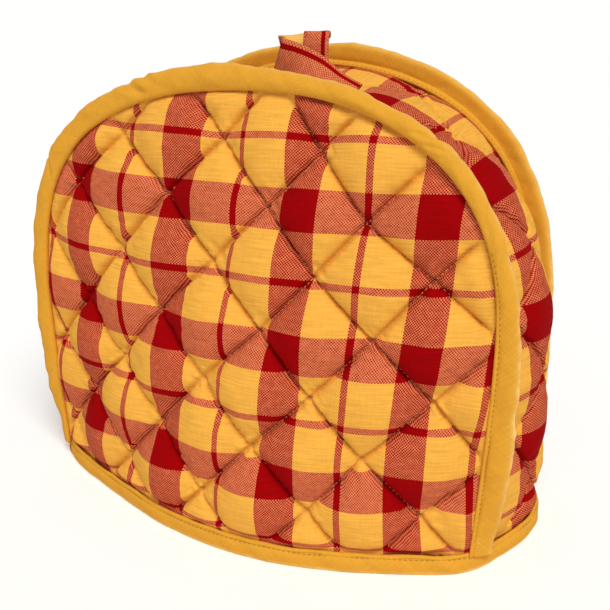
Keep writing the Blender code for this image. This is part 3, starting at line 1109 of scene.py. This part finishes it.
def sew(name: str, starts: Array, ends: Array, ups: Array, radius: float) -> bpy.types.Object:
    """Make rows of stitches, each a short thread that dips into the cloth at both ends.

    Args:
        name: name of the piece.
        starts: where each stitch comes up.
        ends: where each stitch goes down.
        ups: directions out of the cloth.
        radius: half the thread's thickness.

    Returns:
        The stitches as one piece.
    """
    sides = 6
    rings = ((0.16, 0.75, -0.1), (0.5, 1.0, 0.35), (0.84, 0.75, -0.1))
    way = ends - starts
    out = unit(ups)
    left = unit(np.cross(out, way))
    turns = np.arange(sides) * 2 * math.pi / sides
    spots = [starts - out * radius * 1.6]
    for share, size, lift in rings:
        middle = starts + way * share + out * radius * lift
        for turn in turns:
            spots.append(middle + radius * size * (left * math.cos(turn) + out * math.sin(turn)))
    spots.append(ends - out * radius * 1.6)
    count = len(spots)
    points = np.stack(spots, 1).reshape(-1, 3)
    pattern: list[tuple[int, ...]] = []
    for i in range(sides):
        j = (i + 1) % sides
        pattern.append((0, 1 + j, 1 + i))
        for ring in range(2):
            a, b = 1 + ring * sides, 1 + (ring + 1) * sides
            pattern.append((a + i, a + j, b + j, b + i))
        pattern.append((1 + 2 * sides + i, 1 + 2 * sides + j, count - 1))
    faces = [tuple(k + count * n for k in face) for n in range(len(starts)) for face in pattern]
    mesh = bpy.data.meshes.new(name)
    mesh.from_pydata(points.tolist(), [], faces)
    piece = bpy.data.objects.new(name, mesh)
    bpy.context.collection.objects.link(piece)
    face_outward(piece)
    return piece


def sew_along(name: str, path: Array, ups: Array, pitch: float = 0.0027,
              length: float = 0.0019, radius: float = 0.0002) -> bpy.types.Object:
    """Make one row of stitches along a path.

    Args:
        name: name of the piece.
        path: points of the row, close together.
        ups: directions out of the cloth at those points.
        pitch: distance from one stitch to the next.
        length: length of a stitch.
        radius: half the thread's thickness.

    Returns:
        The stitches as one piece.
    """
    run = run_along(path)
    middle = np.arange(pitch / 2, run[-1], pitch)
    read = [np.stack([np.interp(at, run, rows[:, k]) for k in range(3)], 1)
            for rows, at in ((path, middle - length / 2), (path, middle + length / 2),
                             (ups, middle))]
    return sew(name, read[0], read[1], read[2], radius)


# Bindings, hem and loop


@dataclass(frozen=True)
class Crease:
    """A soft crease across a strip: where it is, how it slants, how wide and how deep."""

    share: float
    around: float
    slant: float
    width: float
    reach: float
    depth: float


def smooth_ring(rows: Array, steps: int, closed: bool) -> Array:
    """Read more rows from a smooth curve through the given ones.

    Args:
        rows: numbers in rows.
        steps: new rows for each old one.
        closed: true where the last row is followed by the first.

    Returns:
        The new rows.
    """
    if closed:
        padded = np.vstack([rows[-1:], rows, rows[:2]])
    else:
        padded = np.vstack([2 * rows[0] - rows[1], rows, 2 * rows[-1] - rows[-2]])
    share = (np.arange(steps) / steps)[:, None]
    out = []
    for a, b, c, d in zip(padded, padded[1:], padded[2:], padded[3:]):
        out.append(0.5 * (2 * b + (c - a) * share + (2 * a - 5 * b + 4 * c - d) * share ** 2
                          + (3 * b - a - 3 * c + d) * share ** 3))
    if not closed:
        out.append(rows[-1:])
    return np.vstack(out)


@dataclass
class SeamBinding:
    """A bias strip folded over the seam's edges and stitched down, which stands out from it."""

    name: str
    arch: Arch
    gusset: GussetSurface
    cloth: bpy.types.Material
    thread: bpy.types.Material
    lean: float
    lean_right: float
    foot_lean: float = 0.70
    foot_reach: float = 0.045
    narrow: float = 0.0
    width: float = 0.0125
    gusset_lap: float = 0.0016
    stitched_from: float = 0.745
    stations: int = 440
    seed: int = 5
    creases: tuple[Crease, ...] = ()

    # reach from the seam and height off the panel's plane, in millimetres, from the panel's lip
    # over the fold to the gusset's lip
    ROLLED = ((0.3, -1.0), (-0.3, -0.5), (-0.5, 0.4), (-0.2, 1.3), (0.7, 2.1), (2.4, 2.7),
              (5.0, 3.0), (7.5, 2.8), (9.9, 2.0), (11.5, 0.7), (12.2, -0.9), (11.8, -2.3),
              (10.0, -3.4), (7.0, -3.8), (4.0, -4.0), (2.2, -4.3))
    FLAT = ((0.2, -0.8), (-0.5, -0.3), (-0.8, 0.4), (-0.4, 1.15), (0.5, 1.35), (1.5, 0.75),
            (2.5, 1.5), (5.5, 1.9), (9.0, 1.7), (11.6, 1.0), (12.4, -0.3), (12.1, -1.7),
            (10.0, -3.0), (7.0, -3.6), (4.0, -4.0), (2.2, -4.3))

    # the width that these sections are drawn for, and where the two stitched lips and the outer
    # fold lie among their points
    DRAWN_WIDTH = 0.0125
    PANEL_LIP = 5.0
    FOLD = 10.2
    GUSSET_LIP = 16.2

    def flatness(self, share: Array) -> Array:
        """How flat the strip is pressed: rolled on the left and over the top, flat below."""
        return step(share, 0.72, 0.88)

    def squeeze(self, share: Array) -> Array:
        """Where the strip is rolled up narrow, past the top."""
        return self.narrow * step(share, 0.46, 0.60) * (1 - step(share, 0.74, 0.86))

    def leaning(self, share: Array) -> Array:
        """How far the strip leans over the gusset: most at its feet, which the hem takes in."""
        near = np.minimum(share, 1 - share) * self.arch.length
        foot = 1 - step(near, 0.002, self.foot_reach)
        return self.lean + (self.lean_right - self.lean) * step(share, 0.35, 0.65) + (
            self.foot_lean - self.lean) * foot

    def sections(self) -> tuple[Array, Array]:
        """Control points of the strip's sections.

        Returns:
            The sections' points in the cosy's frame, and the sections' shares of the seam.
        """
        share = np.linspace(-0.004, 1.004, self.stations + 1)
        held = np.clip(share, 0, 1)
        seam = self.arch.at(held)
        seam[:, 2] -= np.maximum(np.abs(share - 0.5) - 0.5, 0) * self.arch.length
        out = self.arch.outward(held)
        sign = self.arch.side.facing.value
        foot = np.clip(np.minimum(held, 1 - held) * self.arch.length / 0.02, 0, 1)
        wide = 0.92 + 0.08 * foot * (2 - foot)
        lean, tight = self.leaning(held), self.squeeze(held)
        flat = self.flatness(held)[:, None]
        rolled, pressed = np.array(self.ROLLED) / 1000, np.array(self.FLAT) / 1000
        columns = []
        for (r1, o1), (r2, o2) in zip(rolled, pressed):
            reach = (r1 * (1 - flat[:, 0]) + r2 * flat[:, 0])
            off = (o1 * (1 - flat[:, 0]) + o2 * flat[:, 0])
            reach = np.where(reach > 0, reach * wide * self.width / self.DRAWN_WIDTH, reach)
            reach = reach * (1 - 0.36 * tight) + 0.0018 * tight
            turn = np.maximum(reach, 0)
            n = reach * np.cos(lean * (turn > 0)) + off * np.sin(lean) * turn / self.DRAWN_WIDTH
            y = off - turn * np.sin(lean)
            columns.append(seam + out * n[:, None] + np.array([0, sign, 0]) * y[:, None])
        columns += self.gusset_lip(held, share)
        return np.stack(columns, 1), share

    def gusset_lip(self, held: Array, share: Array) -> list[Array]:
        """The strip's other lip, which lies on the edge of the gusset."""
        front = self.arch is self.gusset.front
        half = self.gusset.width(held) / 2
        along = held * self.gusset.length
        drop = np.maximum(np.abs(share - 0.5) - 0.5, 0) * self.arch.length
        columns = []
        for lap, height in ((self.gusset_lap - 0.0008, 0.0013), (self.gusset_lap, 0.0010),
                            (self.gusset_lap + 0.0002, 0.0002), (self.gusset_lap - 0.001, -0.0006)):
            across = -half + lap if front else half - lap
            spots = self.gusset.place(np.stack([across, along], 1), np.full(len(along), height))
            spots[:, 2] -= drop
            columns.append(spots)
        return columns

    def build(self) -> list[bpy.types.Object]:
        """Make the strip and its edge stitching.

        Returns:
            The pieces.
        """
        sections, share = self.sections()
        steps = 3
        fine = np.stack([smooth_ring(section, steps, True) for section in sections])
        rows, around = fine.shape[:2]
        lengths = np.linalg.norm(np.diff(fine, axis=1, append=fine[:, :1]), axis=2).mean(axis=0)
        around_run = np.concatenate([[0.0], np.cumsum(lengths)])
        along_run = share * self.arch.length
        piece, column, row = add_counted_grid(self.name + "_strip", around, rows - 1)
        spots = fine[row, column % around]
        flat = np.stack([around_run[column], along_run[row]], 1)
        middle = fine.mean(axis=1)
        lift = self.wrinkles(flat, share[row]) * self.fold_share(column, steps)
        away = unit(spots - middle[row])
        spots = spots + away * lift[:, None]
        lay_cloth_map(piece, flat)
        fold = self.FOLD * steps
        # painted highlight and wear along the outer fold, stronger where the strip is pressed flat
        # on the right, where the light falls
        keep_share(piece, "paler_edge", np.exp(-((column - fold) / (1.1 * steps)) ** 2)
                   * (0.35 + 0.65 * self.flatness(np.clip(share[row], 0, 1))))
        place_points(piece, spots)
        close_tube(piece, True)
        finish_piece(piece, self.cloth)
        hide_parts(self.name)
        return [piece, *self.stitching(fine, middle, steps)]

    def fold_share(self, column: Array, steps: int) -> Array:
        """How freely the strip can wrinkle: not at its sewn lips."""
        place = column / steps
        return step(place, 4.0, 6.5) * (1 - step(place, 13.0, 15.5))

    def wrinkles(self, flat: Array, share: Array) -> Array:
        """Heights of the strip's slanting pulls and creases."""
        slant = flat[:, 0] + 0.9 * flat[:, 1]
        other = flat[:, 1] - 0.6 * flat[:, 0]
        lift = 0.00070 * uneven(slant, other * 0.45, 0.0095, self.seed)
        lift += 0.00032 * uneven(slant, other * 0.5, 0.0038, self.seed + 1)
        lift += 0.00070 * uneven(flat[:, 1], flat[:, 1] * 0, 0.022, self.seed + 2)
        for crease in self.creases:
            run = (share - crease.share) * self.arch.length
            off = run - crease.slant * (flat[:, 0] - crease.around)
            near = np.exp(-((flat[:, 0] - crease.around) / crease.reach) ** 2)
            lift -= crease.depth * near * np.exp(-(off / crease.width) ** 2)
            lift += 0.5 * crease.depth * near * np.exp(-((off - 2 * crease.width)
                                                         / crease.width) ** 2)
        return lift

    def stitching(self, fine: Array, middle: Array, steps: int) -> list[bpy.types.Object]:
        """The rows of stitches along both lips."""
        made = []
        first = int(self.stitched_from * self.stations)
        for label, column, start in (("panel", self.PANEL_LIP, first),
                                     ("gusset", self.GUSSET_LIP, 6)):
            at = int(round(column * steps))
            path = fine[start:-6, at]
            ups = unit(path - middle[start:-6])
            row = sew_along(f"{self.name}_{label}_stitches", path + ups * 0.0001, ups)
            finish_piece(row, self.thread)
            made.append(row)
        return made


@dataclass
class HemBinding:
    """The bias strip folded over the bottom edge, which the cosy stands on."""

    front: Arch
    back: Arch
    gusset: GussetSurface
    cloth: bpy.types.Material
    thread: bpy.types.Material
    corner: float = 0.0030
    corner_reach: float = 0.015
    front_cells: int = 20
    side_cells: int = 12
    steps: int = 8
    seed: int = 9

    # distance out from the cloth and height, in millimetres: the sole, the outer face, the
    # stitched lip, the channel that holds the quilted edge, and the inner face
    SECTION = ((-2.0, 0.0), (1.2, 0.0), (2.3, 0.5), (2.85, 2.2), (3.05, 4.6), (2.9, 7.0),
               (2.35, 8.6), (1.95, 9.4), (2.15, 10.2), (1.8, 11.1), (0.8, 11.3), (0.15, 10.4),
               (-0.1, 8.2), (-2.4, 7.4), (-4.6, 8.2), (-4.75, 10.4), (-5.1, 11.0), (-5.5, 10.2),
               (-5.65, 6.0), (-5.6, 2.0), (-5.0, 0.2))

    # where the stitches lie on the lip
    STITCH_OUT = 0.00215
    STITCH_HEIGHT = 0.0094

    def path(self) -> tuple[Array, Array]:
        """Plan of the cloth's outer face at the hem.

        Returns:
            Its points, and how near each is to a seam's foot.
        """
        rows: list = []
        corners: list = []
        for arch, foot, turn in ((self.front, Foot.RIGHT, 1), (self.back, Foot.LEFT, -1)):
            ends = arch.at(np.array([0.0, 1.0]))[::turn]
            xs = np.linspace(ends[0][0], ends[1][0], self.front_cells + 1)
            ys = arch.side.face_y(xs, np.full(len(xs), arch.side.foot))
            rows += list(zip(xs, ys))
            width = self.gusset.width(np.array([foot.value]))[0]
            across = np.linspace(0, 1, self.side_cells + 1)[1:-1]
            flat = np.stack([(across - 0.5) * width,
                             np.full(len(across), foot.value * self.gusset.length)], 1)
            rows += [tuple(p) for p in self.gusset.base(flat)[::turn, :2]]
            corners += [ends[0][:2], ends[1][:2]]
        path = np.array(rows)
        near = np.array([min(np.linalg.norm(p - c) for c in corners) for p in path])
        return path, np.exp(-(near / self.corner_reach) ** 2)

    def build(self) -> list[bpy.types.Object]:
        """Make the hem and its stitching.

        Returns:
            The pieces.
        """
        path, corner = self.path()
        along = np.roll(path, -1, axis=0) - np.roll(path, 1, axis=0)
        out = unit(np.stack([along[:, 1], -along[:, 0]], 1))
        for _ in range(2):
            out = unit(out + 0.5 * (np.roll(out, -1, axis=0) + np.roll(out, 1, axis=0)))
        outer = path + out * (self.corner * corner)[:, None]
        for _ in range(2):
            outer = 0.5 * outer + 0.25 * (np.roll(outer, -1, axis=0) + np.roll(outer, 1, axis=0))
        fine = smooth_ring(np.hstack([path, outer, out]), self.steps, True)
        path, outer, out = fine[:, :2], fine[:, 2:4], unit(fine[:, 4:])
        run = run_along(outer, closed=True)
        section = smooth_ring(np.array(self.SECTION) / 1000, 3, True)
        section[:, 1] = np.maximum(section[:, 1], 0)
        around_run = run_along(section, closed=True)
        rows, around = len(path), len(section)
        piece, column, row = add_counted_grid("hem_binding_strip", around, rows)
        reach, height = section[column % around].T
        flat = np.stack([around_run[column], run[row]], 1)
        lift = self.wrinkles(flat) * np.clip(height / 0.002, 0, 1)
        here = row % rows
        base = np.where((reach > 0)[:, None], outer[here], path[here])
        wave = self.wave(run[row])
        spot = base + out[here] * (reach + lift * (reach > 0))[:, None]
        lay_cloth_map(piece, flat)
        # the strip is drawn paler along its lower outer edge, by the same paler-edge mark as the
        # seam strips' fold
        keep_share(piece, "paler_edge", np.exp(-((height - 0.0009) / 0.0011) ** 2) * (reach > 0) * 0.5)
        top = np.clip((height - 0.005) / 0.006, 0, 1)
        place_points(piece, np.column_stack([spot, height + wave * top]))
        close_tube(piece, False)
        finish_piece(piece, self.cloth)
        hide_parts("hem_binding")
        row_path = np.column_stack([outer + out * self.STITCH_OUT,
                                    self.STITCH_HEIGHT + self.wave(run[:-1]) * 0.75])
        ups = np.column_stack([out, np.full(len(out), 0.1)])
        row_path, ups = np.vstack([row_path, row_path[:1]]), np.vstack([ups, ups[:1]])
        stitches = sew_along("hem_binding_stitches", row_path, ups)
        finish_piece(stitches, self.thread)
        return [piece, stitches]

    def wave(self, run: Array) -> Array:
        """How the stitched lip rises and falls along the hem."""
        return 0.00070 * uneven(run, run * 0, 0.016, self.seed + 5)

    def wrinkles(self, flat: Array) -> Array:
        """Heights of the hem's slanting pulls."""
        slant = flat[:, 1] + 0.9 * flat[:, 0]
        lift = 0.00050 * uneven(slant, flat[:, 0] * 0.4, 0.008, self.seed)
        return lift + 0.00040 * uneven(flat[:, 1], flat[:, 0], 0.018, self.seed + 1)


@dataclass
class HangingLoop:
    """A folded strip of the check cotton, sewn down at both ends and slumped to one side."""

    cloth: bpy.types.Material
    inner: bpy.types.Material
    width: float = 0.013
    thick: float = 0.0016
    steps: int = 12
    length: float = 0.089

    # middle of the strip, the direction across it and its share of the width, which is more at
    # the slanting fold, from one sewn end to the other
    ROWS = ((0.0560, -0.0158, 0.2311, 0.00, 0.87, 0.49, 1.00),
            (0.0460, -0.0158, 0.2358, 0.05, 0.85, 0.52, 1.00),
            (0.0360, -0.0160, 0.2415, -0.05, 0.50, 0.86, 1.05),
            (0.0250, -0.0158, 0.2455, -0.05, 0.12, 0.98, 1.18),
            (0.0160, -0.0135, 0.2465, 0.25, 0.05, 0.97, 1.35),
            (0.0138, -0.0078, 0.2469, 0.30, 0.32, 0.89, 1.40),
            (0.0190, -0.0036, 0.2494, 0.35, 0.45, 0.82, 1.10),
            (0.0262, -0.0034, 0.2528, 0.80, 0.25, 0.55, 1.00),
            (0.0316, -0.0050, 0.2556, 0.98, 0.00, 0.20, 1.00),
            (0.0330, -0.0080, 0.2564, 1.00, 0.00, 0.00, 1.00),
            (0.0332, -0.0100, 0.2490, 1.00, 0.00, 0.00, 1.00),
            (0.0335, -0.0096, 0.2373, 1.00, 0.05, 0.00, 1.00))

    def build(self) -> list[bpy.types.Object]:
        """Make the strip.

        Returns:
            The piece.
        """
        rows = smooth_ring(np.array(self.ROWS), self.steps, False)
        middle = rows[:, :3]
        along = unit(np.gradient(middle, axis=0))
        across = rows[:, 3:6]
        across = unit(across - (across * along).sum(axis=1, keepdims=True) * along)
        out = np.cross(along, across)
        run = run_along(middle)
        half = self.width / 2
        spread = np.linspace(-1, 1, 15)
        edge = (1 - np.abs(spread) ** 8) ** 0.5
        section = [(half * s, self.thick / 2 * (0.55 + 0.45 * e)) for s, e in zip(spread, edge)]
        section += [(half * s, -self.thick / 2 * (0.55 + 0.45 * e))
                    for s, e in zip(spread[::-1], edge[::-1])]
        ring = np.array(section)
        around = len(ring)
        count = len(middle) - 1
        piece, column, row = add_counted_grid("hanging_loop_strip", around, count)
        side, off = ring[column % around].T
        off = off + 0.00012 * uneven(run[row], side, 0.004, 3)
        wide = across[row] * (side * rows[row, 6])[:, None]
        spots = middle[row] + wide + out[row] * off[:, None]
        lay_cloth_map(piece, np.stack([side, run[row]], 1))
        place_points(piece, spots)
        close_tube(piece, True)
        finish_piece(piece, self.cloth, self.inner)
        under = self.is_inner(read_points(piece) - SETTLE, middle, out)
        starts = np.zeros(len(piece.data.polygons), dtype=np.int32)
        piece.data.polygons.foreach_get("loop_start", starts)
        inner = np.logical_and.reduceat(under[read_corners(piece)], starts)
        piece.data.polygons.foreach_set("material_index", inner.astype(np.int32))
        self.length
        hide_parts("hanging_loop")
        return [piece]

    def is_inner(self, spots: Array, middle: Array, out: Array) -> Array:
        """Which points lie on the strip's inner face, before it turns over."""
        near = ((spots[:, None] - middle) ** 2).sum(axis=2).argmin(axis=1)
        return (((spots - middle[near]) * out[near]).sum(axis=1) > 0) & (near < 0.7 * len(middle))


# The studio


@dataclass(frozen=True)
class Studio:
    """A pale floor, soft light from a white room, and the camera."""

    azimuth: float = math.radians(28.84)
    elevation: float = math.radians(22.53)
    roll: float = math.radians(-2.348)
    distance: float = 0.4695
    target: tuple[float, float, float] = (0.0, 0.0, 0.11)
    focal: float = 826.3
    centre: tuple[float, float] = (274.92, 302.24)
    picture: int = 610
    room: float = 0.40
    overhead: float = 4.1
    overhead_from: tuple[float, float, float] = (0.42, -0.55, 1.0)
    spread: float = math.radians(38)
    exposure: float = -0.48

    def build(self) -> None:
        """Set up the floor, the lights and the camera."""
        self.add_camera()
        self.add_floor()
        self.add_lights()
        scene = bpy.context.scene
        scene.view_settings.view_transform = "Standard"
        scene.view_settings.look = "None"
        scene.view_settings.exposure = self.exposure

    def add_camera(self) -> None:
        """Stand the camera where the photograph was taken from."""
        az, el = self.azimuth, self.elevation
        back = np.array([math.sin(az) * math.cos(el), -math.cos(az) * math.cos(el), math.sin(el)])
        right = np.array([math.cos(az), math.sin(az), 0])
        up = np.cross(back, right)
        turned_right = right * math.cos(self.roll) + up * math.sin(self.roll)
        turned_up = up * math.cos(self.roll) - right * math.sin(self.roll)
        place = np.array(self.target) + self.distance * back + SETTLE
        bpy.ops.object.camera_add()
        camera = bpy.context.object
        camera.name = "camera"
        matrix = Matrix(np.column_stack([turned_right, turned_up, back]).tolist()).to_4x4()
        matrix.translation = Vector(place)
        camera.matrix_world = matrix
        camera.data.sensor_width = 36.0
        camera.data.lens = self.focal * 36.0 / self.picture
        camera.data.shift_x = (self.picture / 2 - self.centre[0]) / self.picture
        camera.data.shift_y = (self.centre[1] - self.picture / 2) / self.picture
        camera.data.clip_start = 0.01
        bpy.context.scene.camera = camera

    def add_floor(self) -> None:
        """Lay the floor, wide enough to fill the view."""
        floor, a, b = add_grid("floor", 2, 2)
        place_points(floor, np.column_stack([(a - 0.5) * 80, (b - 0.5) * 80, 0 * a]))
        material, tree, shader = new_material("painted_board")
        shader.inputs["Base Color"].default_value = linear("FAFAF8")
        shader.inputs["Roughness"].default_value = 0.9
        shader.inputs["Specular IOR Level"].default_value = 0.0
        floor.data.materials.append(material)

    def add_lights(self) -> None:
        """Light the cosy from a white room and a wide soft light overhead."""
        world = bpy.data.worlds.new("white_room")
        world.use_nodes = True
        sky = world.node_tree.nodes["Background"]
        sky.inputs["Color"].default_value = (1.0, 1.0, 1.0, 1.0)
        sky.inputs["Strength"].default_value = self.room
        bpy.context.scene.world = world
        bpy.ops.object.light_add(type="SUN", location=(0, 0, 3))
        light = bpy.context.object
        light.name = "overhead"
        light.data.energy = self.overhead
        light.data.angle = self.spread
        aim = -Vector(self.overhead_from)
        light.rotation_euler = aim.to_track_quat("-Z", "Y").to_euler()


# the front strip's deepest creases: on the left shoulder, at the top and on the right shoulder
FRONT_CREASES = (
    Crease(0.285, 0.012, 0.9, 0.0020, 0.008, 0.0014),
    Crease(0.400, 0.012, -0.9, 0.0022, 0.008, 0.0013),
    Crease(0.415, 0.014, -1.1, 0.0018, 0.006, 0.0009),
    Crease(0.655, 0.013, 1.0, 0.0024, 0.008, 0.0013),
    Crease(0.670, 0.012, 1.2, 0.0018, 0.006, 0.0008))
PANEL_PADDING = Padding(-0.0026, -0.0008, 0.0080, 0.0026, 0.0084, 0.0003, 0.0070)
GUSSET_PADDING = Padding(-0.0028, -0.0008, 0.0064, 0.0022, 0.0066, 0.0003, 0.0100)


def main() -> None:
    """Build each piece of the cosy, then the studio."""
    check = CheckCotton("check_cotton").material()
    gusset_check = CheckCotton("gusset_check_cotton", warp_start=-0.0385,
                               weft_start=0.0285).material()
    loop_check = CheckCotton("loop_check_cotton", thin_share=0.015, warp_cover=0.74,
                             warp_start=0.0037 - 0.03355,
                             weft_start=0.045, weft_repeat=0.8).material()
    lining = BiasCotton("lining_cotton", colour="E6B25A", turn=0.0).material()
    binding = BiasCotton("binding_cotton").material()
    pale = SewingCotton("quilting_thread", "D9A56E").material()
    mustard = SewingCotton("binding_thread", "A8741C").material()
    front, back = Arch(FRONT_SIDE), Arch(BACK_SIDE)
    front_face, back_face = PanelSurface(front), PanelSurface(back)
    gusset_face = GussetSurface(front, back)
    pieces = [
        QuiltedPiece("front_panel", front_face, Quilting(tugs=FRONT_SEWING, loose=0.0015),
                     PANEL_PADDING, check, lining, pale, slips=FRONT_SLIPS),
        QuiltedPiece("back_panel", back_face,
                     Quilting(crossing=(-0.0228, 0.1860), loose=0.002, seed=4), PANEL_PADDING,
                     check, lining, pale, cells=26, seed=31),
        QuiltedPiece("gusset", gusset_face,
                     Quilting(crossing=(0.0, 0.0309), loose=0.0015, seed=7), GUSSET_PADDING,
                     gusset_check, lining, pale, cells=28, seed=61, cloth_from="back_edge",
                     flat_top=0.5),
        SeamBinding("front_binding", front, gusset_face, binding, mustard, 0.10, 0.10, narrow=1.0,
                    creases=FRONT_CREASES),
        SeamBinding("back_binding", back, gusset_face, binding, mustard, 0.26, 0.14, width=0.0110,
                    gusset_lap=0.0030, foot_reach=0.105, seed=15),
        HemBinding(front, back, gusset_face, binding, mustard),
        HangingLoop(loop_check, lining),
    ]
    for maker in pieces:
        for piece in maker.build():
            log.info("made %s", piece.name)
    Studio().build()


if __name__ == "__main__":
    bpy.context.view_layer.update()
    main()
